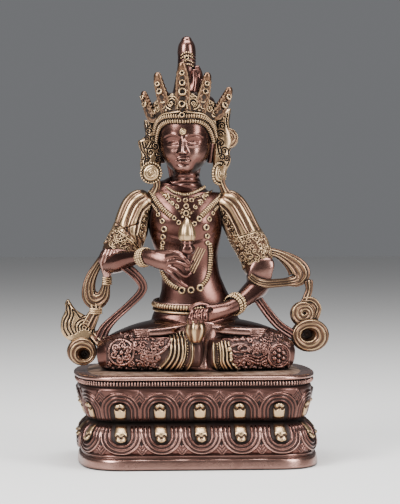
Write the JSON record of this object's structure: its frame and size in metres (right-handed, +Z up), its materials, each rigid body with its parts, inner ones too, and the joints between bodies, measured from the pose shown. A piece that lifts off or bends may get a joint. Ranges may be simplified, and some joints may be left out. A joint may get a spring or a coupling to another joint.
{
  "type": "vajrasattva figure",
  "caption": "Seated, crowned figure in cast copper alloy on a double lotus throne, a thunderbolt sceptre held upright at the chest and a bell at the hip; it stands on its flat underside.",
  "frame": {"origin": "on the flat underside of the throne, in the middle of its plan", "axes": "+Z up along the height, +X to the left of the figure (image right), -Y to the front that the figure faces; metres"},
  "size_m": [0.1362, 0.0812, 0.212],
  "materials": {
    "patinated_copper": "polished cast copper with a dark reddish-brown patina in the hollows",
    "rubbed_brass": "golden, rubbed relief on the crown, jewels, scarf, sleeves and petal tongues"
  },
  "bodies": {
    "root": {"lotus_throne": "patinated_copper", "seated_figure": "patinated_copper"}
  },
  "joints": []
}
